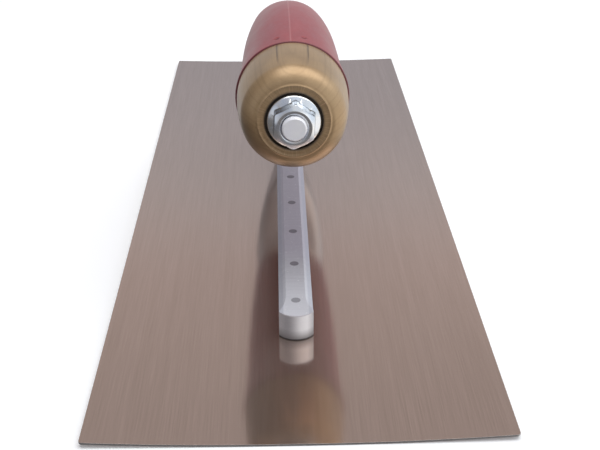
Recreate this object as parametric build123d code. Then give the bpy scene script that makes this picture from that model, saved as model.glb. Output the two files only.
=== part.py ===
from build123d import *
import math
import os

# Steel finishing trowel, in millimetres.
# Origin: centre of the blade's underside. +Y runs along the blade to its front, +Z is up.

INCH = 25.4

# Blade: a thin sheet, flat under the mounting bar and rising gently to its long edges.
BLADE_LENGTH = 14 * INCH
BLADE_WIDTH = 5 * INCH
BLADE_THICKNESS = 0.7
BLADE_FLAT_WIDTH = 16.0
BLADE_EDGE_RISE = 1.2
SHEET_TRIM = 2.0
BLADE_END_BOW = 0.9
BLADE_CORNER_RADIUS = 1.0

# Mounting bar.
BAR_LENGTH = 249.0
BAR_WIDTH = 11.5
BAR_HEIGHT = 9.5
BAR_END_BOW = 3.1
BAR_CHAMFER = 2.4
CHAMFER_END_MARGIN = 3.0
CHAMFER_RUNOUT = 10.0

# Rivets that join the blade and the bar.
RIVET_COUNT = 10
RIVET_PITCH = INCH
RIVET_RADIUS = 1.6
RIVET_HEAD_RADIUS = RIVET_RADIUS + BLADE_THICKNESS

# Handle: a frame at its rear end, with local +Z forward along the handle and local +Y up.
HANDLE_REAR_Y = -102.9
HANDLE_REAR_Z = 70.0
HANDLE_TILT = 4.0
HANDLE_LENGTH = 128.0

# Rear dome of the wooden core.
RIM_RADIUS = 11.9
DOME_SHOULDER_RADIUS = 17.5
DOME_SHOULDER_STATION = 6.4
DOME_RADIUS = 19.2
DOME_LENGTH = 28.5
RECESS_RADIUS = 9.4
RECESS_LIP = 0.45
RECESS_FLOOR = 0.9
CORE_BORE_RADIUS = 4.3

# Grip sleeve: (station, height above the axis, half width, depth below the axis).
SLEEVE_WALL = 2.7
SLEEVE_GAP = 0.3
SLEEVE_SECTIONS = [
    (DOME_LENGTH, 19.7, 19.9, 19.7),
    (45.0, 21.0, 18.8, 18.2),
    (64.0, 21.6, 18.6, 17.4),
    (84.0, 21.0, 18.3, 16.8),
    (104.0, 19.0, 17.5, 16.3),
    (HANDLE_LENGTH, 15.3, 16.2, 15.4),
]

# Rod and flange nut, M8.
ROD_RADIUS = 4.0
THREAD_PITCH = 1.25
THREAD_DEPTH = 0.6
THREADED_LENGTH = 25.0
ROD_PROTRUSION = 1.4
ROD_HOLE_RADIUS = ROD_RADIUS + 0.03
NUT_HEIGHT = 8.0
NUT_ACROSS_FLATS = 13.0
NUT_FLANGE_RADIUS = 8.7
NUT_FLANGE_RIM = 1.2
NUT_FLANGE_CONE_HEIGHT = 1.3
NUT_CONE_TOP_RADIUS = 6.8
NUT_CHAMFER_CIRCLE_RADIUS = 5.65
NUT_CHAMFER_ANGLE = 30.0
NUT_COUNTERSINK = 0.7
NUT_TURN = 34.0

# Post: a foot that straddles the bar's chamfers, a neck that flares upwards and an oval boss
# square to the handle. Neck sections: (height above the bar, centre's y, width, length, corner).
POST_FOOT_Y = 2 * INCH
POST_FOOT_LENGTH = 35.0
POST_FOOT_HEIGHT = 3.0
POST_NECK_SECTIONS = [
    (2.0, 50.2, 11.0, 32.0, 5.0),
    (7.0, 48.5, 15.0, 26.0, 5.0),
    (17.0, 42.0, 23.5, 15.0, 5.0),
    (30.0, 35.0, 29.5, 9.6, 4.2),
    (44.0, 30.2, 32.0, 7.6, 3.6),
]
BOSS_TOP = 12.5
BOSS_HALF_WIDTH = 15.8
BOSS_BOTTOM = 15.0
BOSS_LENGTH = 10.0
BOSS_EDGE_ROUND = 1.5

# Screws that hold the post, M5 countersunk.
SCREW_POSITIONS = (45.5, 56.1)
SCREW_RADIUS = 2.5
SCREW_HEAD_RADIUS = 4.6
SCREW_LENGTH = 16.0
SCREW_SOCKET_ACROSS_FLATS = 3.0
SCREW_SOCKET_DEPTH = 1.8
SCREW_CLEARANCE = 0.03

bar_bottom = BLADE_THICKNESS
bar_top = BLADE_THICKNESS + BAR_HEIGHT
rivet_positions = [(i - (RIVET_COUNT - 1) / 2) * RIVET_PITCH for i in range(RIVET_COUNT)]
tilt = math.radians(HANDLE_TILT)
handle_forward = (0, math.cos(tilt), -math.sin(tilt))
handle_plane = Plane(
    origin=(0, HANDLE_REAR_Y, HANDLE_REAR_Z), x_dir=(-1, 0, 0), z_dir=handle_forward
)
nut_seat = RECESS_FLOOR
nut_top = nut_seat - NUT_HEIGHT
rod_rear = nut_top - ROD_PROTRUSION
rod_front = HANDLE_LENGTH + BOSS_LENGTH - 1.0


def cone(low_radius, high_radius, low_z, high_z):
    """A cone or cylinder on the Z axis between two heights."""
    height = high_z - low_z
    middle = Pos(0, 0, (low_z + high_z) / 2)
    if low_radius == high_radius:
        return middle * Cylinder(low_radius, height)
    return middle * Cone(low_radius, high_radius, height)


def bowed_rectangle(width, length, bow):
    """A rectangle along Y whose two ends bow outwards; length includes the bows."""
    x = width / 2
    y = length / 2 - bow
    right = Line((x, -y), (x, y))
    front = ThreePointArc((x, y), (0, length / 2), (-x, y))
    left = Line((-x, y), (-x, -y))
    rear = ThreePointArc((-x, -y), (0, -length / 2), (x, -y))
    return make_face([right, front, left, rear])


def crowned_edge(side, height):
    """One side of the sheet's section: an arc tangent to the flat, a little past the blade."""
    span = (BLADE_WIDTH - BLADE_FLAT_WIDTH) / 2
    radius = (span**2 + BLADE_EDGE_RISE**2) / (2 * BLADE_EDGE_RISE)
    sweep = math.degrees(math.asin((span + SHEET_TRIM) / radius))
    start = (side * BLADE_FLAT_WIDTH / 2, height)
    return JernArc(start, (side, 0), radius, side * sweep)


def make_blade():
    """The crowned sheet, trimmed to the blade's outline, with a countersunk hole per rivet."""
    lower = [crowned_edge(-1, 0), crowned_edge(1, 0)]
    upper = [crowned_edge(-1, BLADE_THICKNESS), crowned_edge(1, BLADE_THICKNESS)]
    flats = [Line(pair[0] @ 0, pair[1] @ 0) for pair in (lower, upper)]
    edges = [Line(low @ 1, high @ 1) for low, high in zip(lower, upper)]
    section = Plane.XZ * make_face(lower + upper + flats + edges)
    sheet = extrude(section, BLADE_LENGTH / 2 + SHEET_TRIM, both=True)
    outline = bowed_rectangle(BLADE_WIDTH, BLADE_LENGTH, BLADE_END_BOW)
    outline = fillet(outline.vertices(), BLADE_CORNER_RADIUS)
    blade = sheet & extrude(outline, BLADE_THICKNESS + BLADE_EDGE_RISE + 1)
    hole = cone(RIVET_HEAD_RADIUS, RIVET_RADIUS, 0, BLADE_THICKNESS)
    for y in rivet_positions:
        blade -= Pos(0, y, 0) * hole
    return blade


def bar_chamfer_cutter(side):
    """A cutter that chamfers one top edge of the bar and curves out of it near both ends."""
    normal_x = side * math.sqrt(0.5)
    edge_plane = Plane(
        origin=(side * BAR_WIDTH / 2, 0, bar_top),
        x_dir=(0, 1, 0),
        z_dir=(math.sqrt(0.5), 0, -normal_x),
    )
    depth = BAR_CHAMFER * math.sqrt(0.5)
    end = BAR_LENGTH / 2 - CHAMFER_END_MARGIN
    full = end - CHAMFER_RUNOUT
    runouts = [
        TangentArc((direction * full, -depth), (direction * end, 0), tangent=(direction, 0))
        for direction in (-1, 1)
    ]
    level = Line((-full, -depth), (full, -depth))
    outside = Polyline((end, 0), (end, BAR_WIDTH), (-end, BAR_WIDTH), (-end, 0))
    profile = make_face(runouts + [level, outside])
    return extrude(edge_plane * profile, BAR_WIDTH, both=True)


def bar_body():
    """The bar without its holes."""
    outline = Plane.XY.offset(bar_bottom) * bowed_rectangle(BAR_WIDTH, BAR_LENGTH, BAR_END_BOW)
    body = extrude(outline, BAR_HEIGHT)
    for side in (-1, 1):
        body -= bar_chamfer_cutter(side)
    return body


def make_mounting_bar():
    """The bar, with rivet holes and two countersunk screw holes from below."""
    bar = bar_body()
    rivet_hole = cone(RIVET_RADIUS, RIVET_RADIUS, bar_bottom, bar_top)
    for y in rivet_positions:
        bar -= Pos(0, y, 0) * rivet_hole
    for y in SCREW_POSITIONS:
        bar -= Pos(0, y, 0) * screw_shape(SCREW_CLEARANCE)
    return bar


def make_rivet():
    """One rivet on the Z axis: a flush conical head in the blade and a shank to the bar's top."""
    head = cone(RIVET_HEAD_RADIUS, RIVET_RADIUS, 0, BLADE_THICKNESS)
    return head + cone(RIVET_RADIUS, RIVET_RADIUS, bar_bottom, bar_top)


def screw_shape(clearance):
    """A countersunk screw on the Z axis, head down in the bar's underside."""
    shank_radius = SCREW_RADIUS + clearance
    head_radius = SCREW_HEAD_RADIUS + clearance
    head_top = bar_bottom + head_radius - shank_radius
    head = cone(head_radius, shank_radius, bar_bottom, head_top)
    return head + cone(shank_radius, shank_radius, head_top, bar_bottom + SCREW_LENGTH + clearance)


def make_screw():
    """One post screw with its hex socket."""
    socket = RegularPolygon(SCREW_SOCKET_ACROSS_FLATS / 2, 6, major_radius=False)
    return screw_shape(0) - extrude(Plane.XY.offset(bar_bottom) * socket, SCREW_SOCKET_DEPTH)


def grip_section(station, top, side, bottom):
    """A section across the handle: an upper and a lower half-ellipse that meet at the sides."""
    upper = EllipticalCenterArc((0, 0), side, top, start_angle=0, arc_size=180)
    lower = EllipticalCenterArc((0, 0), side, bottom, start_angle=180, arc_size=180)
    return Plane.XY.offset(station) * make_face([upper, lower])


def grip_body(inset):
    """The grip's solid form, drawn in from the sleeve's outer surface by an inset."""
    sections = [
        grip_section(station, top - inset, side - inset, bottom - inset)
        for station, top, side, bottom in SLEEVE_SECTIONS
    ]
    return loft(sections)


def make_handle_core():
    """The wooden core: a turned rear dome with a nut recess, a reduced front and a rod bore."""
    shoulder = (DOME_SHOULDER_RADIUS, DOME_SHOULDER_STATION)
    flank = TangentArc((DOME_RADIUS, DOME_LENGTH), shoulder, tangent=(0, -1))
    crown = TangentArc(shoulder, (RIM_RADIUS, 0), tangent=flank % 1)
    inside = Polyline(
        (RIM_RADIUS, 0),
        (RECESS_RADIUS, RECESS_LIP),
        (RECESS_RADIUS, RECESS_FLOOR),
        (CORE_BORE_RADIUS, RECESS_FLOOR),
        (CORE_BORE_RADIUS, DOME_LENGTH),
        (DOME_RADIUS, DOME_LENGTH),
    )
    dome = revolve(Plane.XZ * make_face([flank, crown, inside]), Axis.Z)
    bore = cone(CORE_BORE_RADIUS, CORE_BORE_RADIUS, 0, HANDLE_LENGTH)
    return dome + (grip_body(SLEEVE_WALL) - bore)


def make_grip_sleeve():
    """The sleeve over the core's front, a hair clear of the dome's shoulder."""
    sleeve = grip_body(0) - grip_body(SLEEVE_WALL)
    gap_end = DOME_LENGTH + SLEEVE_GAP
    return sleeve - cone(BLADE_WIDTH, BLADE_WIDTH, 0, gap_end)


def threaded_outline(start, direction):
    """Points (radius, station) of ridges at the thread's pitch, from one end of the rod."""
    points = []
    for turn in range(round(THREADED_LENGTH / THREAD_PITCH)):
        crest = start + direction * (turn + 1) * THREAD_PITCH
        root = crest + direction * THREAD_PITCH / 2
        points += [(ROD_RADIUS, crest), (ROD_RADIUS - THREAD_DEPTH, root)]
    return points


def make_handle_rod():
    """The rod through the handle, with chamfered ends and ridges in place of its threads."""
    tip_radius = ROD_RADIUS - THREAD_DEPTH
    rear = [(tip_radius, rod_rear)] + threaded_outline(rod_rear, 1)
    front = [(tip_radius, rod_front)] + threaded_outline(rod_front, -1)
    outline = Polyline([(0, rod_rear)] + rear + front[::-1] + [(0, rod_front)], close=True)
    return revolve(Plane.XZ * make_face(outline), Axis.Z)


def make_flange_nut():
    """The hex flange nut on the handle's axis, its flange in the recess and its top rearwards."""
    across_corners_radius = NUT_ACROSS_FLATS / math.sqrt(3)
    hexagon = RegularPolygon(across_corners_radius, 6, rotation=NUT_TURN)
    prism = extrude(Plane.XY.offset(nut_top) * hexagon, NUT_HEIGHT)
    chamfer_drop = (NUT_FLANGE_RADIUS - NUT_CHAMFER_CIRCLE_RADIUS) * math.tan(
        math.radians(NUT_CHAMFER_ANGLE)
    )
    envelope = cone(NUT_CHAMFER_CIRCLE_RADIUS, NUT_FLANGE_RADIUS, nut_top, nut_top + chamfer_drop)
    envelope += cone(NUT_FLANGE_RADIUS, NUT_FLANGE_RADIUS, nut_top + chamfer_drop, nut_seat)
    rim_rear = nut_seat - NUT_FLANGE_RIM
    cone_rear = rim_rear - NUT_FLANGE_CONE_HEIGHT
    flange = cone(NUT_FLANGE_RADIUS, NUT_FLANGE_RADIUS, rim_rear, nut_seat)
    flange += cone(NUT_CONE_TOP_RADIUS, NUT_FLANGE_RADIUS, cone_rear, rim_rear)
    nut = (prism & envelope) + flange
    nut -= cone(ROD_HOLE_RADIUS, ROD_HOLE_RADIUS, nut_top, nut_seat)
    countersink_radius = ROD_HOLE_RADIUS + NUT_COUNTERSINK
    return nut - cone(countersink_radius, ROD_HOLE_RADIUS, nut_top, nut_top + NUT_COUNTERSINK)


def make_handle_post():
    """The post: foot, neck and boss in one casting, with holes for the rod and the screws."""
    foot_plane = Plane.XY.offset(bar_top - BAR_CHAMFER)
    foot_outline = Pos(0, POST_FOOT_Y, 0) * SlotOverall(POST_FOOT_LENGTH, BAR_WIDTH, rotation=90)
    foot = extrude(foot_plane * foot_outline, BAR_CHAMFER + POST_FOOT_HEIGHT)
    neck_sections = [
        Pos(0, y, bar_top + height) * RectangleRounded(width, length, corner)
        for height, y, width, length, corner in POST_NECK_SECTIONS
    ]
    boss = extrude(grip_section(HANDLE_LENGTH, BOSS_TOP, BOSS_HALF_WIDTH, BOSS_BOTTOM), BOSS_LENGTH)
    boss = fillet(boss.faces().sort_by(Axis.Z)[-1].edges(), BOSS_EDGE_ROUND)
    post = foot + loft(neck_sections) + handle_plane.location * boss - bar_body()
    rod_hole = cone(ROD_HOLE_RADIUS, ROD_HOLE_RADIUS, 0, HANDLE_LENGTH + BOSS_LENGTH)
    post -= handle_plane.location * rod_hole
    for y in SCREW_POSITIONS:
        post -= Pos(0, y, 0) * screw_shape(SCREW_CLEARANCE)
    return post


nodes = {
    "blade": make_blade(),
    "mounting_bar": make_mounting_bar(),
    "blade_rivets": Compound([Pos(0, y, 0) * make_rivet() for y in rivet_positions]),
    "handle_post": make_handle_post(),
    "post_screws": Compound([Pos(0, y, 0) * make_screw() for y in SCREW_POSITIONS]),
    "handle_rod": handle_plane.location * make_handle_rod(),
    "handle_core": handle_plane.location * make_handle_core(),
    "grip_sleeve": handle_plane.location * make_grip_sleeve(),
    "flange_nut": handle_plane.location * make_flange_nut(),
}

os.makedirs("parts", exist_ok=True)
for name, shape in nodes.items():
    export_step(shape, f"parts/{name}.step")
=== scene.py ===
import math

import bmesh
import bpy
from mathutils import Euler, Matrix, Vector


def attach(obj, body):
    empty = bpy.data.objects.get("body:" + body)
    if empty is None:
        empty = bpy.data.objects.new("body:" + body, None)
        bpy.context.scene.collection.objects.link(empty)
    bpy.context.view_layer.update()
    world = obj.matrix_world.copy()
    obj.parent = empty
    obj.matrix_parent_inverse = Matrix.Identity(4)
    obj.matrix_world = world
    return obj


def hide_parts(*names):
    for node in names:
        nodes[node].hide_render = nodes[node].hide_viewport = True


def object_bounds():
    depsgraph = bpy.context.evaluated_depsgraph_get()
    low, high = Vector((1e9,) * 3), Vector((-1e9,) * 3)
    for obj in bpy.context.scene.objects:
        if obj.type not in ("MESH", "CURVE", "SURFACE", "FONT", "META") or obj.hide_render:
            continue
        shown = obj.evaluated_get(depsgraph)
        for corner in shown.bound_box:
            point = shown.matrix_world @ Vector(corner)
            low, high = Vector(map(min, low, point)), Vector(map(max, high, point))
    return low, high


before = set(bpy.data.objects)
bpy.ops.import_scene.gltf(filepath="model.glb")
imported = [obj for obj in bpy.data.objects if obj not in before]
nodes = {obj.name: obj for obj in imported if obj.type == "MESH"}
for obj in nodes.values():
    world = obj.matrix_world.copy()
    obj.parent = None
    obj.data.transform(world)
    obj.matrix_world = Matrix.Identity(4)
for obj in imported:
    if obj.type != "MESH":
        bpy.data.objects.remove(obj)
cad_low, cad_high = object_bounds()
scene = bpy.context.scene

MM = 0.001

# Blade, in millimetres.
BLADE_LENGTH = 355.6
BLADE_WIDTH = 127.0
BLADE_THICKNESS = 0.7
BLADE_FLAT_WIDTH = 16.0
BLADE_EDGE_RISE = 1.2
BLADE_END_BOW = 0.9
BLADE_CORNER_RADIUS = 1.0
BLADE_UNDERSIDE = 0.03  # just above the flush ends of the rivets

# Mounting bar: where its surfaces, its painted lit stretch and its painted shaded stretch start and end, in
# millimetres.
BAR_END_WALL = (121.2, 121.6)
BAR_TOP_EDGE = (10.0, 9.7)
BAR_CHAMFER = (4.0, 4.5)
LIT_END_STRETCH = (-118, -84)
SHADED_STRETCH = (-94, -74)
JOINT_TOP = (0.95, 1.20)

# Handle, in millimetres. Its own frame has Z forward along the axis and Y up, from the rear rim.
HANDLE_REAR = (0, -102.9, 70.0)
HANDLE_TILT = math.radians(4.0)
HANDLE_LENGTH = 128.0
RIM_RADIUS = 11.9
SHOULDER = (17.5, 6.4)
DOME_RADIUS = 19.2
DOME_LENGTH = 28.5
RECESS_RADIUS = 9.4
RECESS_LIP = 0.45
RECESS_FLOOR = 0.9
CORE_BORE_RADIUS = 4.3
CORE_FRONT_RADIUS = 12.0
SLEEVE_WALL = 2.7
# Each section of the sleeve: its station, then how far its top, sides and bottom are from the axis.
SLEEVE_SECTIONS = (
    (DOME_LENGTH, 19.7, 19.9, 19.7),
    (45.0, 21.0, 18.8, 18.2),
    (64.0, 21.6, 18.6, 17.4),
    (84.0, 21.0, 18.3, 16.8),
    (104.0, 19.0, 17.5, 16.3),
    (HANDLE_LENGTH, 15.3, 16.2, 15.4),
)
PARTING_LINE_X = 0.5
DIMPLE_OFFSET = 4.75
DIMPLE_STATION = 34.0

# Nut and rod, in millimetres.
NUT_HEIGHT = 8.0
NUT_ACROSS_FLATS = 13.0
NUT_FLANGE_RADIUS = 8.7
NUT_FLANGE_RIM = 1.2
NUT_FLANGE_CONE_HEIGHT = 1.3
NUT_CONE_TOP_RADIUS = 6.8
NUT_CHAMFER_CIRCLE_RADIUS = 5.65
NUT_CHAMFER_SLOPE = math.tan(math.radians(30))
NUT_COUNTERSINK = 0.7
NUT_TURN = math.radians(34)
ROD_RADIUS = 4.0
ROD_PROTRUSION = 1.4
ROD_FRONT = HANDLE_LENGTH + 9.0
THREAD_PITCH = 1.25
THREAD_DEPTH = 0.6
THREADED_LENGTH = 25.0
ROD_END_RADIUS = 3.3

# Camera: its place in metres, its turns in degrees and its lens in millimetres.
CAMERA_PLACE = (-0.00541, -0.40596, 0.18689)
CAMERA_PITCH = 90 - 26.94
CAMERA_PAN = -1.36
CAMERA_ROLL = -0.21
CAMERA_LENS = 60.42
SENSOR_WIDTH = 36.0

nut_top = RECESS_FLOOR - NUT_HEIGHT
rod_rear = nut_top - ROD_PROTRUSION
handle_matrix = Matrix.Translation(Vector(HANDLE_REAR) * MM) @ Matrix(
    (
        (-1, 0, 0, 0),
        (0, math.sin(HANDLE_TILT), math.cos(HANDLE_TILT), 0),
        (0, math.cos(HANDLE_TILT), -math.sin(HANDLE_TILT), 0),
        (0, 0, 0, 1),
    )
)


# ---------------------------------------------------------------- geometry


def turn(count, offset=0.0):
    """Angles once round, evenly spaced."""
    return [offset + 2 * math.pi * i / count for i in range(count)]


def skin(rings, loop=False):
    """Faces between rings of equal size, joined into a loop or closed by a cap at each end."""
    size = len(rings[0])
    points = [point for ring in rings for point in ring]
    faces = []
    for i in range(len(rings) if loop else len(rings) - 1):
        here = i * size
        there = (i + 1) % len(rings) * size
        for j in range(size):
            k = (j + 1) % size
            faces.append((here + j, here + k, there + k, there + j))
    if not loop:
        faces.append(tuple(range(size))[::-1])
        faces.append(tuple(range((len(rings) - 1) * size, len(rings) * size)))
    return points, faces


def new_piece(name, points, faces, materials, matrix, stands_for, sharp=35):
    """A smooth closed mesh piece from points in millimetres, that stands for one CAD node."""
    mesh = bpy.data.meshes.new(name)
    mesh.from_pydata([Vector(point) * MM for point in points], [], faces)
    work = bmesh.new()
    work.from_mesh(mesh)
    bmesh.ops.recalc_face_normals(work, faces=work.faces)
    work.to_mesh(mesh)
    work.free()
    mesh.shade_smooth()
    mesh.set_sharp_from_angle(angle=math.radians(sharp))
    for material in materials:
        mesh.materials.append(material)
    piece = bpy.data.objects.new(name, mesh)
    piece.matrix_world = matrix
    scene.collection.objects.link(piece)
    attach(piece, "root")
    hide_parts(stands_for)
    return piece


def add_bevel(piece, width, angle=30):
    """Eases the edges that turn by more than the angle."""
    modifier = piece.modifiers.new("edge", "BEVEL")
    modifier.width = width * MM
    modifier.segments = 2
    modifier.limit_method = "ANGLE"
    modifier.angle_limit = math.radians(angle)
    modifier.harden_normals = False


def tangent_arc(start, tangent, end, count):
    """Points (x, y) of the arc that leaves start along tangent and reaches end."""
    start, end = Vector(start), Vector(end)
    normal = Vector((-tangent[1], tangent[0])).normalized()
    chord = end - start
    radius = chord.length_squared / (2 * chord.dot(normal))
    centre = start + normal * radius
    first = start - centre
    sweep = 2 * math.atan2(chord.dot(normal), chord.dot(Vector(tangent).normalized()))
    points = []
    for i in range(count + 1):
        angle = sweep * i / count
        turned = Matrix.Rotation(angle, 2) @ first
        points.append(centre + turned)
    return points


def lathe(profile, count):
    """Rings round the Z axis from (radius, station) points."""
    return [
        [(radius * math.cos(a), radius * math.sin(a), z) for a in turn(count)]
        for radius, z in profile
    ]


def smooth_curve(knots, x):
    """A smooth curve through knots (x, y), as piecewise cubics with averaged slopes."""
    spans = list(zip(knots, knots[1:]))
    rates = [(b[1] - a[1]) / (b[0] - a[0]) for a, b in spans]
    slopes = [rates[0]] + [(p + q) / 2 for p, q in zip(rates, rates[1:])] + [rates[-1]]
    for i, (a, b) in enumerate(spans):
        if x <= b[0] or i == len(spans) - 1:
            width = b[0] - a[0]
            t = (x - a[0]) / width
            return (
                a[1] * (1 + 2 * t) * (1 - t) ** 2
                + b[1] * t * t * (3 - 2 * t)
                + slopes[i] * width * t * (1 - t) ** 2
                - slopes[i + 1] * width * t * t * (1 - t)
            )


def bump_shape(distance, radius):
    """A soft hill of height 1 that falls to nothing at the radius."""
    t = min(abs(distance) / radius, 1.0)
    return (1 - t * t) ** 2


# ---------------------------------------------------------------- materials


class Shader:
    """Short names for the nodes that the materials below are made of."""

    def __init__(self, name, metallic=0.0, roughness=0.5, color=(0.5, 0.5, 0.5)):
        self.material = bpy.data.materials.new(name)
        self.material.use_nodes = True
        self.tree = self.material.node_tree
        self.surface = self.tree.nodes["Principled BSDF"]
        self.surface.inputs["Metallic"].default_value = metallic
        self.surface.inputs["Roughness"].default_value = roughness
        self.surface.inputs["Base Color"].default_value = (*color, 1)
        self.coordinates = self.tree.nodes.new("ShaderNodeTexCoord").outputs["Object"]

    def put(self, socket, value):
        """Links or sets a socket."""
        if isinstance(value, bpy.types.NodeSocket):
            self.tree.links.new(value, socket)
        elif isinstance(value, tuple) and len(value) == 3 and socket.type == "RGBA":
            socket.default_value = (*value, 1)
        else:
            socket.default_value = value

    def set(self, name, value):
        """Links or sets an input of the surface."""
        self.put(self.surface.inputs[name], value)

    def stretched(self, scale):
        """Object coordinates in millimetres, divided by a size per axis."""
        node = self.tree.nodes.new("ShaderNodeMapping")
        node.inputs["Scale"].default_value = tuple(1 / (s * MM) for s in scale)
        self.put(node.inputs["Vector"], self.coordinates)
        return node.outputs["Vector"]

    def noise(self, size, detail=2.0, roughness=0.5, seed=0.0):
        """Noise whose blobs have a size in millimetres along each axis."""
        node = self.tree.nodes.new("ShaderNodeTexNoise")
        node.noise_dimensions = "4D"
        self.put(node.inputs["Vector"], self.stretched(size))
        node.inputs["W"].default_value = seed
        node.inputs["Scale"].default_value = 1.0
        node.inputs["Detail"].default_value = detail
        node.inputs["Roughness"].default_value = roughness
        return node.outputs["Fac"]

    def line_noise(self, value, seed=0.0, detail=1.0):
        """Noise along one number."""
        node = self.tree.nodes.new("ShaderNodeTexNoise")
        node.noise_dimensions = "1D"
        self.put(node.inputs["W"], self.math("ADD", value, seed))
        node.inputs["Scale"].default_value = 1.0
        node.inputs["Detail"].default_value = detail
        return node.outputs["Fac"]

    def math(self, operation, first, second=0.0):
        """A maths node on two numbers or sockets."""
        node = self.tree.nodes.new("ShaderNodeMath")
        node.operation = operation
        self.put(node.inputs[0], first)
        self.put(node.inputs[1], second)
        return node.outputs[0]

    def spread(self, value, low, high, to_low=0.0, to_high=1.0, smooth=False):
        """Maps low..high to to_low..to_high, clamped."""
        node = self.tree.nodes.new("ShaderNodeMapRange")
        node.interpolation_type = "SMOOTHSTEP" if smooth else "LINEAR"
        self.put(node.inputs["Value"], value)
        for name, number in (
            ("From Min", low), ("From Max", high), ("To Min", to_low), ("To Max", to_high)
        ):
            node.inputs[name].default_value = number
        return node.outputs["Result"]

    def between(self, place, limits, to_low=0.0, to_high=1.0, smooth=False):
        """Maps the places between two limits in millimetres."""
        return self.spread(place, limits[0] * MM, limits[1] * MM, to_low, to_high, smooth)

    def blend(self, factor, first, second):
        """A colour between two colours."""
        node = self.tree.nodes.new("ShaderNodeMix")
        node.data_type = "RGBA"
        self.put(node.inputs["Factor"], factor)
        self.put(node.inputs["A"], first)
        self.put(node.inputs["B"], second)
        return node.outputs["Result"]

    def split(self):
        """The object coordinates X, Y and Z."""
        node = self.tree.nodes.new("ShaderNodeSeparateXYZ")
        self.put(node.inputs["Vector"], self.coordinates)
        return node.outputs

    def relief(self, height, depth, normal=None):
        """A bump whose height of 1 stands for a depth in millimetres."""
        node = self.tree.nodes.new("ShaderNodeBump")
        node.inputs["Strength"].default_value = 1.0
        node.inputs["Distance"].default_value = depth * MM
        self.put(node.inputs["Height"], height)
        if normal:
            self.put(node.inputs["Normal"], normal)
        return node.outputs["Normal"]


def blade_steel():
    """Satin golden steel with a fine grain along the blade."""
    s = Shader("blade_steel", metallic=0.89)
    streaks = s.noise((0.35, 22.0, 5.0), detail=3.0, roughness=0.6)
    wide_streaks = s.noise((0.9, 34.0, 5.0), detail=2.0, seed=5.0)
    long_streaks = s.noise((2.4, 160.0, 5.0), detail=2.0, seed=3.0)
    clouds = s.noise((24.0, 60.0, 20.0), detail=3.0, seed=7.0)
    tone = s.math("ADD", s.math("MULTIPLY", streaks, 0.7), s.math("MULTIPLY", long_streaks, 0.3))
    gold = s.blend(s.spread(tone, 0.3, 0.7), (0.565, 0.446, 0.384), (0.685, 0.543, 0.478))
    s.set("Base Color", s.blend(s.spread(clouds, 0.3, 0.7, 0.0, 0.25), gold, (0.62, 0.50, 0.442)))
    s.set("Roughness", s.spread(tone, 0.3, 0.7, 0.085, 0.125))
    s.set("Anisotropic", 0.5)
    tangent = s.tree.nodes.new("ShaderNodeTangent")
    tangent.direction_type = "UV_MAP"
    tangent.uv_map = "grain"
    s.set("Tangent", tangent.outputs["Tangent"])
    s.set("Normal", s.relief(streaks, 0.0020, s.relief(wide_streaks, 0.0042)))
    return s.material


def cut_steel():
    """The blade's sheared edge."""
    s = Shader("blade_cut_edge", metallic=1.0)
    marks = s.noise((0.5, 0.5, 0.12), detail=2.0)
    s.set("Base Color", s.blend(s.spread(marks, 0.35, 0.65), (0.50, 0.49, 0.49), (0.66, 0.65, 0.65)))
    s.set("Roughness", s.spread(marks, 0.3, 0.7, 0.35, 0.55))
    s.set("Normal", s.relief(marks, 0.01))
    return s.material


def bar_end_grey(s, x, marks):
    """The bar's rolled end walls: a painted highlight right of the middle, and painted shade in a band on
    the left.
    """
    # Painted light: near white right of the middle, and a painted grey band of shade on the left.
    right = s.between(x, (-3.0, 2.4), smooth=True)
    right = s.math("MULTIPLY", right, s.between(x, (5.7, 3.6), 0.2, 1.0))
    painted_highlight = s.math("ADD", right, s.between(x, (-3.6, -5.6), 0.0, 0.25))
    fine = s.spread(marks, 0.3, 0.7)
    shade_grey = s.blend(fine, (0.34, 0.335, 0.35), (0.44, 0.435, 0.455))
    bright = s.blend(fine, (0.97, 0.98, 1.0), (1.0, 1.0, 1.0))
    return s.blend(painted_highlight, shade_grey, bright)


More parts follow.
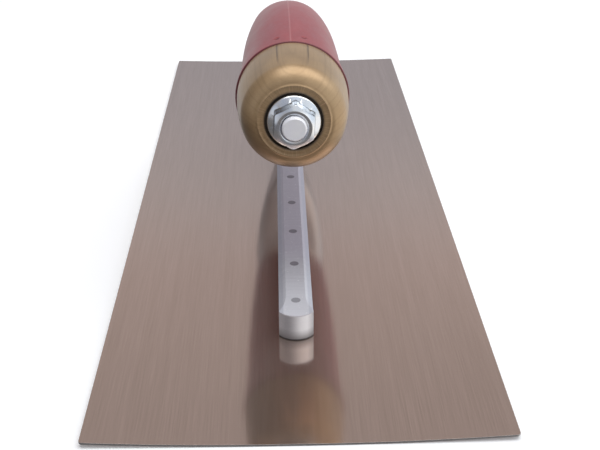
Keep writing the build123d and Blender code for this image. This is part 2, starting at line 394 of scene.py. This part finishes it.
def ground_aluminium():
    """The bar: ground across, with bright specks, painted light and shade along its top, chamfers and end
    walls, and a dark joint at its foot.
    """
    s = Shader("bar_aluminium", metallic=0.40)
    x, y, z = s.split()
    marks = s.noise((9.0, 0.16, 0.5), detail=3.0, roughness=0.65)
    wide_marks = s.noise((16.0, 1.1, 2.0), detail=2.0, seed=4.0)
    grains = s.noise((0.5, 0.5, 0.5), detail=1.0, seed=9.0)
    tone = s.math("ADD", s.math("MULTIPLY", marks, 0.5), s.math("MULTIPLY", wide_marks, 0.5))
    grey = s.blend(s.spread(tone, 0.35, 0.65), (0.53, 0.52, 0.56), (0.66, 0.65, 0.69))
    # Painted shade: the top darkens where the handle shades it.
    shaded = s.between(y, SHADED_STRETCH, 0.0, 0.50, smooth=True)
    grey = s.blend(shaded, grey, (0.46, 0.41, 0.50))
    # Painted light: the top is lighter at its open rear end, out of the handle's shade.
    lit_end = s.between(y, LIT_END_STRETCH, 0.65, 0.0, smooth=True)
    grey = s.blend(lit_end, grey, (0.80, 0.81, 0.86))
    # Painted shade and painted sky reflection: the chamfers are tinted a darker bluish grey.
    chamfer = s.between(s.math("ABSOLUTE", x), BAR_CHAMFER, 0.0, 0.40)
    grey = s.blend(chamfer, grey, (0.38, 0.40, 0.47))
    grey = s.blend(s.spread(grains, 0.68, 0.74), grey, (0.92, 0.92, 0.94))

    end_wall = s.between(s.math("ABSOLUTE", y), BAR_END_WALL)
    end_wall = s.math("MULTIPLY", end_wall, s.between(z, BAR_TOP_EDGE))
    end_marks = s.noise((3.0, 3.0, 0.16), detail=3.0, roughness=0.6, seed=5.0)
    grey = s.blend(end_wall, grey, bar_end_grey(s, x, end_marks))
    # Painted shade: the end walls darken towards their foot on the blade.
    low_shade = s.math("MULTIPLY", end_wall, s.between(z, (1.2, 4.6), 0.85, 0.0))
    grey = s.blend(low_shade, grey, (0.20, 0.19, 0.19))
    waver = s.spread(s.noise((1.2, 1.2, 1.2), seed=2.0), 0, 1, -0.10 * MM, 0.10 * MM)
    joint = s.between(s.math("ADD", z, waver), JOINT_TOP, 1.0, 0.0)
    s.set("Base Color", s.blend(joint, grey, (0.03, 0.025, 0.025)))
    s.set("Metallic", s.spread(end_wall, 0.0, 1.0, 0.40, 0.15))
    s.set("Roughness", s.spread(marks, 0.3, 0.7, 0.40, 0.52))
    height = s.math("ADD", marks, s.math("MULTIPLY", end_wall, s.math("SUBTRACT", end_marks, marks)))
    s.set("Normal", s.relief(height, 0.010))
    return s.material


def rivet_aluminium():
    """The rivets' flush ends, darker than the bar, and lighter towards its open rear end with painted light
    like it.
    """
    s = Shader("rivet_aluminium", metallic=0.40)
    marks = s.noise((3.0, 0.15, 0.5), detail=3.0, seed=2.0)
    grey = s.blend(s.spread(marks, 0.35, 0.65), (0.19, 0.17, 0.20), (0.29, 0.27, 0.30))
    # Painted light: the rivets near the open rear end are lighter, out of the handle's shade.
    lit_end = s.between(s.split()["Y"], (-116, -84), 0.7, 0.0, smooth=True)
    s.set("Base Color", s.blend(lit_end, grey, (0.42, 0.42, 0.45)))
    s.set("Roughness", s.spread(marks, 0.3, 0.7, 0.42, 0.58))
    s.set("Normal", s.relief(marks, 0.012))
    return s.material


def cast_aluminium():
    """The post: tumbled casting with a fine pitted skin."""
    s = Shader("cast_aluminium", metallic=1.0)
    skin_grain = s.noise((0.45, 0.45, 0.45), detail=3.0, roughness=0.6)
    waves = s.noise((7.0, 7.0, 7.0), detail=2.0, seed=5.0)
    s.set("Base Color", s.blend(s.spread(skin_grain, 0.3, 0.7), (0.60, 0.60, 0.61), (0.74, 0.74, 0.75)))
    s.set("Roughness", s.spread(waves, 0.3, 0.7, 0.34, 0.46))
    s.set("Normal", s.relief(skin_grain, 0.03, s.relief(waves, 0.25)))
    return s.material


def screw_steel():
    """Plain machined steel."""
    s = Shader("screw_steel", metallic=1.0)
    rings = s.noise((0.4, 0.4, 0.1), detail=2.0)
    s.set("Base Color", s.blend(s.spread(rings, 0.3, 0.7), (0.40, 0.40, 0.41), (0.52, 0.52, 0.53)))
    s.set("Roughness", s.spread(rings, 0.3, 0.7, 0.28, 0.42))
    s.set("Normal", s.relief(rings, 0.01))
    return s.material


def from_nut_flats(s):
    """How far a place is from the planes of the nut's six flats."""
    x, y = s.split()[:2]
    reach = 0.0
    for angle in turn(3, NUT_TURN + math.radians(30)):
        along_x = s.math("MULTIPLY", x, math.cos(angle))
        along_y = s.math("MULTIPLY", y, math.sin(angle))
        reach = s.math("MAXIMUM", s.math("ABSOLUTE", s.math("ADD", along_x, along_y)), reach)
    return s.math("ABSOLUTE", s.math("SUBTRACT", reach, NUT_ACROSS_FLATS / 2 * MM))


def zinc_plate(name, rough, metallic, tones):
    """Bright zinc plate with fine scratches and a cast between two tones: its shader and colour."""
    s = Shader(name, metallic=metallic)
    scratches = s.noise((1.6, 0.10, 0.4), detail=3.0, roughness=0.6)
    cast = s.noise((3.0, 3.0, 3.0), detail=2.0, seed=6.0)
    plate = s.blend(s.spread(cast, 0.35, 0.65), *tones)
    plate = s.blend(s.spread(scratches, 0.35, 0.75, 0, 0.35), plate, (0.92, 0.93, 0.95))
    s.set("Base Color", plate)
    s.set("Roughness", s.spread(scratches, 0.3, 0.7, rough, rough + 0.10))
    s.set("Normal", s.relief(scratches, 0.004, s.relief(cast, 0.03)))
    return s, plate


def nut_plate():
    """The nut: a blue and straw cast, and painted shade on its flats."""
    s, plate = zinc_plate("zinc_plated_nut", 0.16, 1.0, ((0.74, 0.79, 0.86), (0.84, 0.84, 0.83)))
    # Painted shade: the hex flats are darkened so the hex stands out from the flange.
    flats = s.between(from_nut_flats(s), (0.04, 0.26), 0.62, 0.0)
    s.set("Base Color", s.blend(flats, plate, (0.20, 0.25, 0.31)))
    return s.material


def rod_plate():
    """The rod: paler and duller than the nut."""
    tones = ((0.95, 0.94, 0.98), (1.0, 0.99, 1.0))
    return zinc_plate("zinc_plated_rod", 0.42, 0.12, tones)[0].material


def gold_lacquer():
    """Satin gold lacquer over turned wood whose growth rings lie round a line above the axis, with painted
    shade underneath, at the lower left and in the nut recess.
    """
    pith_height = 20.0
    dark_ring = 5.6
    s = Shader("gold_lacquer", metallic=0.5)
    x, y, z = s.split()
    warp = s.spread(s.noise((9.0, 9.0, 40.0), detail=3.0, seed=1.0), 0.0, 1.0, -0.9 * MM, 0.9 * MM)
    side = s.math("MULTIPLY", x, x)
    below = s.math("SUBTRACT", y, pith_height * MM)
    distance = s.math("SQRT", s.math("ADD", side, s.math("MULTIPLY", below, below)))
    distance = s.math("DIVIDE", s.math("ADD", distance, warp), MM)
    from_ring = s.math("ABSOLUTE", s.math("SUBTRACT", distance, dark_ring))
    ring = s.spread(from_ring, 0.0, 0.45, 1.0, 0.0, smooth=True)
    ring = s.math("MULTIPLY", ring, s.between(z, (5, 17), smooth=True))
    rings = s.line_noise(s.math("MULTIPLY", distance, 0.9), seed=3.0)
    faint_rings = s.spread(rings, 0.52, 0.68, 0.0, 1.0, smooth=True)
    fibres = s.noise((0.5, 0.5, 9.0), detail=3.0, roughness=0.6, seed=2.0)
    clouds = s.noise((6.0, 6.0, 9.0), detail=3.0, seed=8.0)
    gold = s.blend(s.spread(clouds, 0.3, 0.7), (0.40, 0.262, 0.134), (0.50, 0.340, 0.185))
    gold = s.blend(s.spread(fibres, 0.35, 0.70, 0.0, 0.25), gold, (0.34, 0.205, 0.100))
    gold = s.blend(s.math("MULTIPLY", faint_rings, 0.18), gold, (0.25, 0.155, 0.075))
    gold = s.blend(s.math("MULTIPLY", ring, 0.85), gold, (0.13, 0.085, 0.045))
    turns = s.math("ARCTAN2", y, x)
    rays = s.line_noise(s.math("MULTIPLY", turns, 26.0), seed=5.0, detail=3.0)
    reach = s.math("DIVIDE", s.math("SQRT", s.math("ADD", side, s.math("MULTIPLY", y, y))), MM)
    end_face = s.spread(reach, RIM_RADIUS - 0.1, RIM_RADIUS + 0.3, 1.0, 0.0)
    ray_tone = s.math("MULTIPLY", end_face, s.spread(rays, 0.48, 0.70, 0.0, 0.8))
    gold = s.blend(ray_tone, gold, (0.58, 0.38, 0.22))
    # Painted shade: near black in the nut recess, fading out over the end face beside it.
    recess = s.spread(reach, RECESS_RADIUS - 0.1, RECESS_RADIUS + 0.9, 0.93, 0.0, smooth=True)
    # Painted shade: the dome darkens towards its underside.
    gold = s.blend(s.between(y, (0, -15), 0.0, 0.30), gold, (0.12, 0.075, 0.038))
    # Painted shade: darker towards the lower left.
    lower_left_shade = s.math("SUBTRACT", s.math("MULTIPLY", x, 0.75), s.math("MULTIPLY", y, 0.66))
    gold = s.blend(s.between(lower_left_shade, (9, 15), 0.0, 0.50, smooth=True), gold, (0.11, 0.070, 0.040))
    s.set("Base Color", s.blend(recess, gold, (0.02, 0.014, 0.010)))
    s.set("Metallic", s.spread(reach, RECESS_RADIUS, RECESS_RADIUS + 0.8, 0.0, 0.5))
    s.set("Roughness", s.spread(clouds, 0.3, 0.7, 0.34, 0.44))
    s.set("Specular IOR Level", 0.5)
    s.set("Coat Weight", 0.25)
    s.set("Coat Roughness", 0.25)
    grain = s.relief(fibres, 0.014, s.relief(ring, -0.05))
    s.set("Normal", s.relief(s.math("MULTIPLY", end_face, rays), 0.03, grain))
    return s.material


def red_grip():
    """Semi-gloss red with a faint mottle, a pale parting line, and painted shade in its dimples, towards its
    underside and along its rear edge.
    """
    s = Shader("red_grip", roughness=0.42)
    x, y, z = s.split()
    mottle = s.noise((5.0, 5.0, 9.0), detail=4.0, roughness=0.6)
    skin_grain = s.noise((0.35, 0.35, 0.5), detail=2.0, seed=4.0)
    dust = s.noise((1.2, 1.2, 3.0), detail=4.0, roughness=0.7, seed=6.0)
    red = s.blend(s.spread(mottle, 0.3, 0.7), (0.285, 0.046, 0.052), (0.345, 0.062, 0.068))
    red = s.blend(s.spread(dust, 0.45, 0.80, 0.0, 0.25), red, (0.42, 0.18, 0.19))
    from_line = s.math("ABSOLUTE", s.math("SUBTRACT", x, PARTING_LINE_X * MM))
    on_top = s.between(y, (0.0, 1.0))
    line = s.math("MULTIPLY", s.between(from_line, (0.10, 0.36), 0.32, 0.0), on_top)
    red = s.blend(line, red, (0.55, 0.25, 0.24))
    across = s.math("SUBTRACT", from_line, DIMPLE_OFFSET * MM)
    along = s.math("SUBTRACT", z, DIMPLE_STATION * MM)
    reach = s.math("ADD", s.math("MULTIPLY", across, across), s.math("MULTIPLY", along, along))
    # Painted shade: the dimples are darkened inside.
    dimple = s.math("MULTIPLY", s.between(s.math("SQRT", reach), (0.5, 1.4), 0.6, 0.0), on_top)
    red = s.blend(dimple, red, (0.12, 0.012, 0.018))
    # Painted shade: the grip darkens to near black towards its underside.
    low_shade = s.spread(s.math("ADD", y, s.math("MULTIPLY", mottle, 4 * MM)), 0.0, -14 * MM, 0.0, 0.6)
    red = s.blend(low_shade, red, (0.035, 0.022, 0.015))
    # Painted shade: a dark line along the rear edge, where it stands proud of the dome.
    rear_edge_shade = s.between(z, (DOME_LENGTH + 0.25, DOME_LENGTH + 0.55), 0.65, 0.0)
    s.set("Base Color", s.blend(rear_edge_shade, red, (0.07, 0.012, 0.016)))
    s.set("Roughness", s.spread(mottle, 0.3, 0.7, 0.36, 0.46))
    s.set("Coat Weight", 0.30)
    s.set("Coat Roughness", 0.30)
    s.set("Normal", s.relief(skin_grain, 0.012, s.relief(mottle, 0.10)))
    return s.material


# ---------------------------------------------------------------- pieces


def crown(x):
    """The rise of the blade's sheet at x: flat in the middle, then an arc to each long edge."""
    span = (BLADE_WIDTH - BLADE_FLAT_WIDTH) / 2
    radius = (span**2 + BLADE_EDGE_RISE**2) / (2 * BLADE_EDGE_RISE)
    beyond = max(abs(x) - BLADE_FLAT_WIDTH / 2, 0.0)
    return radius - math.sqrt(radius**2 - beyond**2)


def make_blade():
    """The blade as two grids, above and below, joined round the edge."""
    columns = 96
    corner_steps = 6
    body_steps = 60
    steps = [math.pi / 2 * i / corner_steps for i in range(corner_steps)]
    near = [BLADE_CORNER_RADIUS * (1 - math.cos(step)) for step in steps]
    length = BLADE_LENGTH / 2
    inner = length - BLADE_CORNER_RADIUS
    body = [-inner + 2 * inner * i / body_steps for i in range(body_steps + 1)]
    rows = [d - length for d in near] + body + [length - d for d in near[::-1]]
    points = []
    for level in (BLADE_THICKNESS, BLADE_UNDERSIDE):
        for row in rows:
            into_corner = max(BLADE_CORNER_RADIUS - (length - abs(row)), 0.0)
            inset = BLADE_CORNER_RADIUS - math.sqrt(BLADE_CORNER_RADIUS**2 - into_corner**2)
            for i in range(columns + 1):
                x = (BLADE_WIDTH / 2 - inset) * (2 * i / columns - 1)
                bow = BLADE_END_BOW * (2 * x / BLADE_WIDTH) ** 2
                points.append((x, row * (1 - bow / length), level + crown(x)))
    width = columns + 1
    under = width * len(rows)
    faces = []
    for r in range(len(rows) - 1):
        for c in range(columns):
            a = r * width + c
            faces.append((a, a + 1, a + 1 + width, a + width))
            faces.append((under + a, under + a + width, under + a + width + 1, under + a + 1))
    last = (len(rows) - 1) * width
    rim = list(range(width)) + [r * width + columns for r in range(1, len(rows))]
    rim += [last + c for c in range(columns - 1, -1, -1)]
    rim += [r * width for r in range(len(rows) - 2, 0, -1)]
    walls = [(a, under + a, under + b, b) for a, b in zip(rim, rim[1:] + rim[:1])]
    blade = new_piece(
        "steel_blade", points, faces + walls, [blade_steel(), cut_steel()],
        Matrix.Identity(4), "blade",
    )
    mesh = blade.data
    grain = mesh.uv_layers.new(name="grain")
    for face in mesh.polygons:
        if abs(face.normal.z) < 0.5:
            face.material_index = 1
        for loop in face.loop_indices:
            place = mesh.vertices[mesh.loops[loop].vertex_index].co
            grain.data[loop].uv = (place.y * 2 + 0.5, place.x * 2 + 0.5)
    add_bevel(blade, 0.14, angle=50)


def make_nut():
    """The flange nut: hex sides cut by the chamfer cone, a conical flange and a countersunk bore."""
    across = NUT_ACROSS_FLATS / 2
    flange_rear = RECESS_FLOOR - NUT_FLANGE_RIM
    cone_rear = flange_rear - NUT_FLANGE_CONE_HEIGHT
    soft = 0.12
    hold = 0.08
    corner_round = 0.25

    def side_radius(angle):
        """The hexagon's radius, with its corners eased."""
        off = (angle - NUT_TURN) % (math.pi / 3) - math.pi / 6
        corner = across / math.cos(math.pi / 6)
        eased = corner - corner_round * bump_shape(abs(off) - math.pi / 6, 0.12)
        return min(across / math.cos(off), eased)

    def column(angle):
        """The nut's outline at an angle, from its bore round to its foot, with close points at its edges."""
        side = side_radius(angle)
        cut = nut_top + (side - NUT_CHAMFER_CIRCLE_RADIUS) * NUT_CHAMFER_SLOPE
        foot = cone_rear
        if side > NUT_CONE_TOP_RADIUS:
            share = (side - NUT_CONE_TOP_RADIUS) / (NUT_FLANGE_RADIUS - NUT_CONE_TOP_RADIUS)
            foot += share * NUT_FLANGE_CONE_HEIGHT
        lead = max(side, NUT_CONE_TOP_RADIUS)
        bore = ROD_RADIUS + 0.03
        return [
            (bore, RECESS_FLOOR),
            (bore, nut_top + NUT_COUNTERSINK),
            (bore + NUT_COUNTERSINK - 0.06, nut_top + 0.04),
            (bore + NUT_COUNTERSINK + 0.08, nut_top),
            (NUT_CHAMFER_CIRCLE_RADIUS - 2 * hold, nut_top),
            (NUT_CHAMFER_CIRCLE_RADIUS - hold, nut_top),
            (NUT_CHAMFER_CIRCLE_RADIUS + hold, nut_top + hold * NUT_CHAMFER_SLOPE),
            (side - soft - hold, cut - (soft + hold) * NUT_CHAMFER_SLOPE),
            (side - soft, cut - soft * NUT_CHAMFER_SLOPE),
            (side - soft * 0.35, cut + soft * 0.1),
            (side, cut + soft),
            (side, cut + soft + hold),
            (side, (cut + foot) / 2),
            (side, foot - 0.25),
            (side + 0.06, foot - 0.08),
            (lead + 0.15, foot + 0.02 + 0.1 * NUT_FLANGE_CONE_HEIGHT),
            (NUT_FLANGE_RADIUS - 0.35, flange_rear - 0.24),
            (NUT_FLANGE_RADIUS - 0.12, flange_rear - 0.03),
            (NUT_FLANGE_RADIUS, flange_rear + 0.18),
            (NUT_FLANGE_RADIUS, RECESS_FLOOR - 0.12),
            (NUT_FLANGE_RADIUS - 0.12, RECESS_FLOOR),
        ]

    angles = turn(216, NUT_TURN)
    columns = [column(a) for a in angles]
    rings = [
        [(c[i][0] * math.cos(a), c[i][0] * math.sin(a), c[i][1]) for a, c in zip(angles, columns)]
        for i in range(len(columns[0]))
    ]
    points, faces = skin(rings, loop=True)
    new_piece(
        "hex_flange_nut", points, faces, [nut_plate()],
        handle_matrix, "flange_nut", sharp=28,
    )


def make_rod():
    """The rod: a flat rear end with a small chamfer and real helical threads at both ends."""
    around = 72
    steps_per_turn = 10
    step = THREAD_PITCH / steps_per_turn
    run_in = 0.45

    def thread_radius(z, angle, from_end):
        """The thread's radius, run in at the rod's ends."""
        phase = (z / THREAD_PITCH - angle / (2 * math.pi)) % 1.0
        groove = min(max(abs(2 * phase - 1) * 1.25 - 0.1, 0.0), 1.0)
        radius = ROD_RADIUS - THREAD_DEPTH * groove
        return min(radius, ROD_RADIUS - run_in + from_end)

    count = int(THREADED_LENGTH / step)
    rear = [rod_rear + i * step for i in range(count)]
    front = [ROD_FRONT - i * step for i in range(count)][::-1]
    angles = turn(around)
    rings = lathe([(ROD_END_RADIUS, rod_rear)], around)
    for z in rear + front:
        from_end = min(z - rod_rear, ROD_FRONT - z)
        radii = [thread_radius(z, a, from_end) for a in angles]
        rings.append([(r * math.cos(a), r * math.sin(a), z) for r, a in zip(radii, angles)])
    rings += lathe([(ROD_END_RADIUS, ROD_FRONT)], around)
    points, faces = skin(rings)
    new_piece(
        "threaded_rod", points, faces, [rod_plate()],
        handle_matrix, "handle_rod", sharp=40,
    )


def make_core():
    """The wooden core: a turned dome with a rim and nut recess, and a plain tenon in the sleeve."""
    flank = tangent_arc((DOME_RADIUS, DOME_LENGTH), (0, -1), SHOULDER, 24)
    leaving = flank[-1] - flank[-2]
    crown_arc = tangent_arc(SHOULDER, leaving, (RIM_RADIUS, 0), 22)
    profile = [(DOME_RADIUS - 0.5, DOME_LENGTH + 0.15), (DOME_RADIUS - 0.12, DOME_LENGTH + 0.1)]
    profile += [tuple(p) for p in flank[:-1]]
    profile += [tuple(p) for p in crown_arc if p[0] > RIM_RADIUS + 1.2]
    profile += [
        (RIM_RADIUS + 0.85, 0.42),
        (RIM_RADIUS + 0.50, 0.38),
        (RIM_RADIUS + 0.22, 0.20),
        (RIM_RADIUS + 0.08, 0.04),
        (RIM_RADIUS - 0.10, 0.0),
        (RIM_RADIUS - 0.32, 0.07),
        (RIM_RADIUS - 0.60, 0.16),
        ((RIM_RADIUS + RECESS_RADIUS) / 2, 0.20),
        (RECESS_RADIUS + 0.35, RECESS_LIP - 0.30),
        (RECESS_RADIUS + 0.08, RECESS_LIP - 0.12),
        (RECESS_RADIUS, RECESS_LIP + 0.10),
        (RECESS_RADIUS, RECESS_FLOOR + 0.8),
        (RECESS_RADIUS - 0.55, RECESS_FLOOR + 0.8),
        (RECESS_RADIUS - 0.60, RECESS_FLOOR + 0.03),
        (CORE_BORE_RADIUS, RECESS_FLOOR + 0.03),
        (CORE_BORE_RADIUS, HANDLE_LENGTH),
        (CORE_FRONT_RADIUS, HANDLE_LENGTH),
        (CORE_FRONT_RADIUS, HANDLE_LENGTH - 1.0),
        (CORE_FRONT_RADIUS, DOME_LENGTH + 0.15),
    ]
    points, faces = skin(lathe(profile, 192), loop=True)
    new_piece(
        "wooden_core", points, faces, [gold_lacquer()],
        handle_matrix, "handle_core", sharp=40,
    )


def sleeve_point(station, angle, inset):
    """A point of the grip's surface, with its parting ridge and its two dimples."""
    top, side, bottom = (
        smooth_curve([(row[0], row[i]) for row in SLEEVE_SECTIONS], station) for i in (1, 2, 3)
    )
    up = top if math.sin(angle) > 0 else bottom
    x = (side - inset) * math.cos(angle)
    y = (up - inset) * math.sin(angle)
    if inset == 0:
        outward = Vector((x, y)).normalized()
        ridge = 0.10 * bump_shape(x - PARTING_LINE_X, 0.45)
        if y > 0:
            for dimple_x in (PARTING_LINE_X - DIMPLE_OFFSET, PARTING_LINE_X + DIMPLE_OFFSET):
                reach = math.hypot(x - dimple_x, (station - DIMPLE_STATION) * 0.8)
                ridge -= 0.5 * bump_shape(reach, 1.35)
        x += outward.x * ridge
        y += outward.y * ridge
    return (x, y, station)


def make_sleeve():
    """The grip sleeve as a closed shell, finely divided near its top line and its rear."""
    fine = [math.radians(90 + 0.45 * i) for i in range(-48, 49)]
    first, last = fine[-1], fine[0] + 2 * math.pi
    coarse = [first + (last - first) * i / 120 for i in range(1, 120)]
    angles = fine + coarse
    start = DOME_LENGTH + 0.15
    stations = [start + 0.4 * i for i in range(1, 32)]
    coarse_from = stations[-1]
    coarse_length = HANDLE_LENGTH - 1.0 - coarse_from
    stations += [coarse_from + coarse_length * i / 60 for i in range(1, 61)]
    rings = [[sleeve_point(start, a, 0.34) for a in angles]]
    rings += [[sleeve_point(start + 0.10, a, 0.10) for a in angles]]
    rings += [[sleeve_point(s, a, 0.0) for a in angles] for s in stations]
    rings += [[sleeve_point(HANDLE_LENGTH - 0.3, a, 0.12) for a in angles]]
    rings += [[sleeve_point(HANDLE_LENGTH, a, 0.8) for a in angles]]
    rings += [[sleeve_point(HANDLE_LENGTH, a, SLEEVE_WALL) for a in angles]]
    rings += [[sleeve_point(start, a, SLEEVE_WALL) for a in angles]]
    points, faces = skin(rings, loop=True)
    new_piece(
        "grip_cover", points, faces, [red_grip()],
        handle_matrix, "grip_sleeve", sharp=50,
    )


def dress_cad_nodes():
    """Materials and eased edges for the CAD nodes that stay."""
    finishes = {
        "mounting_bar": (ground_aluminium(), 0.13),
        "blade_rivets": (rivet_aluminium(), 0.09),
        "post_screws": (screw_steel(), 0.10),
        "handle_post": (cast_aluminium(), None),
    }
    for name, (material, bevel) in finishes.items():
        node = nodes[name]
        node.data.materials.clear()
        node.data.materials.append(material)
        if bevel:
            node.data.shade_smooth()
            node.data.set_sharp_from_angle(angle=math.radians(30))
            add_bevel(node, bevel)
    post = nodes["handle_post"]
    remesh = post.modifiers.new("casting", "REMESH")
    remesh.mode = "VOXEL"
    remesh.voxel_size = 0.5 * MM
    remesh.use_smooth_shade = True
    soften = post.modifiers.new("soften", "SMOOTH")
    soften.factor = 0.5
    soften.iterations = 10


# ---------------------------------------------------------------- studio


def make_camera():
    """A camera behind the trowel, above the handle, looking forward and down along the blade."""
    data = bpy.data.cameras.new("camera")
    data.lens = CAMERA_LENS
    data.sensor_width = SENSOR_WIDTH
    data.clip_start = 0.01
    camera = bpy.data.objects.new("camera", data)
    scene.collection.objects.link(camera)
    aim = Euler((math.radians(CAMERA_PITCH), 0, math.radians(CAMERA_PAN))).to_matrix().to_4x4()
    roll = Matrix.Rotation(math.radians(CAMERA_ROLL), 4, "Z")
    camera.matrix_world = Matrix.Translation(CAMERA_PLACE) @ aim @ roll
    scene.camera = camera


def make_floor():
    """A plain pale floor under the blade, which the metal doesn't mirror."""
    bpy.ops.mesh.primitive_plane_add(size=8.0, location=(0, 0, cad_low[2]))
    floor = bpy.context.active_object
    floor.name = "floor"
    s = Shader("floor", roughness=0.9, color=(0.93, 0.93, 0.93))
    s.set("Emission Color", (1.0, 1.0, 1.0))
    s.set("Emission Strength", 0.1)
    floor.data.materials.append(s.material)
    floor.visible_diffuse = False
    floor.visible_glossy = False


def area_light(name, location, target, size, power):
    """A rectangular light. Its height is upright, or lies along its lean if it hangs overhead."""
    data = bpy.data.lights.new(name, "AREA")
    data.shape = "RECTANGLE"
    data.size, data.size_y = size
    data.energy = power
    light = bpy.data.objects.new(name, data)
    light.location = location
    light.rotation_euler = (Vector(target) - Vector(location)).to_track_quat("-Z", "Y").to_euler()
    scene.collection.objects.link(light)


class Sky:
    """A world whose colour follows the direction looked in: X right, Y to the front, Z up."""

    def __init__(self):
        world = bpy.data.worlds.new("world")
        scene.world = world
        world.use_nodes = True
        self.tree = world.node_tree
        direction = self.tree.nodes.new("ShaderNodeTexCoord").outputs["Generated"]
        parts = self.tree.nodes.new("ShaderNodeSeparateXYZ")
        self.tree.links.new(direction, parts.inputs["Vector"])
        self.x, self.y, self.z = parts.outputs

    def ramp(self, value, stops):
        """A colour from (value, colour) stops."""
        node = self.tree.nodes.new("ShaderNodeValToRGB")
        self.tree.links.new(value, node.inputs["Fac"])
        elements = node.color_ramp.elements
        elements.remove(elements[1])
        for i, (position, color) in enumerate(stops):
            element = elements.new(position) if i else elements[0]
            element.position = position
            element.color = (*color, 1)
        return node.outputs["Color"]

    def rise(self, value, low, high):
        """A smooth step from 0 at low to 1 at high."""
        node = self.tree.nodes.new("ShaderNodeMapRange")
        node.interpolation_type = "SMOOTHSTEP"
        self.tree.links.new(value, node.inputs["Value"])
        node.inputs["From Min"].default_value = low
        node.inputs["From Max"].default_value = high
        return node.outputs["Result"]

    def both(self, first, second):
        """The product of two steps."""
        node = self.tree.nodes.new("ShaderNodeMath")
        node.operation = "MULTIPLY"
        self.tree.links.new(first, node.inputs[0])
        self.tree.links.new(second, node.inputs[1])
        return node.outputs[0]

    def mixed(self, factor, first, second):
        """A colour between two colours or sockets."""
        node = self.tree.nodes.new("ShaderNodeMix")
        node.data_type = "RGBA"
        self.tree.links.new(factor, node.inputs["Factor"])
        for socket, value in ((node.inputs["A"], first), (node.inputs["B"], second)):
            if isinstance(value, tuple):
                socket.default_value = (*value, 1)
            else:
                self.tree.links.new(value, socket)
        return node.outputs["Result"]


def front_sky(sky):
    """The front: cool near the horizon, dim half way up and bright overhead, over a dark floor."""
    above = sky.ramp(sky.z, (
        (0.0, (0.48, 0.49, 0.52)),
        (0.30, (0.385, 0.410, 0.470)),
        (0.36, (0.415, 0.440, 0.495)),
        (0.42, (0.490, 0.505, 0.545)),
        (0.46, (0.510, 0.490, 0.505)),
        (0.49, (0.500, 0.455, 0.455)),
        (0.56, (0.415, 0.380, 0.375)),
        (0.62, (0.360, 0.328, 0.323)),
        (0.70, (0.40, 0.37, 0.37)),
        (0.84, (0.70, 0.70, 0.72)),
        (0.96, (1.0, 1.0, 1.0)),
    ))
    below = sky.mixed(sky.rise(sky.y, 0.45, 0.85), (0.14, 0.13, 0.12), (0.70, 0.70, 0.71))
    return sky.mixed(sky.rise(sky.z, -0.03, 0.03), below, above)


def rear_sky(sky):
    """The rear: bright from its middle to its right, dimmer at its left and higher up, dark below."""
    color = sky.ramp(sky.x, (
        (0.0, (0.35, 0.35, 0.37)),
        (0.20, (0.90, 0.90, 0.92)),
        (0.45, (1.50, 1.50, 1.52)),
        (1.0, (1.30, 1.30, 1.30)),
    ))
    color = sky.mixed(sky.rise(sky.x, -0.45, -0.80), color, (0.60, 0.63, 0.70))
    high = sky.mixed(sky.rise(sky.x, -0.30, 0.05), (0.38, 0.40, 0.46), (0.70, 0.74, 0.80))
    color = sky.mixed(sky.rise(sky.z, 0.30, 0.55), color, high)
    return sky.mixed(sky.rise(sky.z, 0.02, -0.12), color, (0.16, 0.15, 0.15))


def make_world():
    """Soft light from a room in zones: front, rear, a bright right side and a dim front left."""
    sky = Sky()
    color = sky.mixed(sky.rise(sky.y, -0.10, -0.50), front_sky(sky), rear_sky(sky))
    right = sky.both(sky.rise(sky.x, 0.40, 0.80), sky.rise(sky.z, -0.90, -0.55))
    right_wall = sky.mixed(sky.rise(sky.z, -0.10, 0.10), (1.10, 1.08, 1.06), (0.78, 0.85, 0.93))
    color = sky.mixed(right, color, right_wall)
    front_left = sky.both(sky.rise(sky.x, -0.35, -0.75), sky.rise(sky.y, -0.30, 0.20))
    color = sky.mixed(front_left, color, (0.20, 0.20, 0.22))
    sky.tree.links.new(color, sky.tree.nodes["Background"].inputs["Color"])


def make_studio():
    """The surrounding room, the floor, a light overhead and a small one to the right."""
    scene.view_settings.view_transform = "Standard"
    make_world()
    make_floor()
    area_light("overhead", (0.35, 0.15, 1.6), (0.25, 0.15, 0), (1.4, 2.0), 15)
    area_light("right_softbox", (0.9, 0.0, 0.85), (0, -0.08, 0.06), (0.5, 0.8), 1.2)


make_camera()
make_studio()
make_blade()
make_nut()
make_rod()
make_core()
make_sleeve()
dress_cad_nodes()
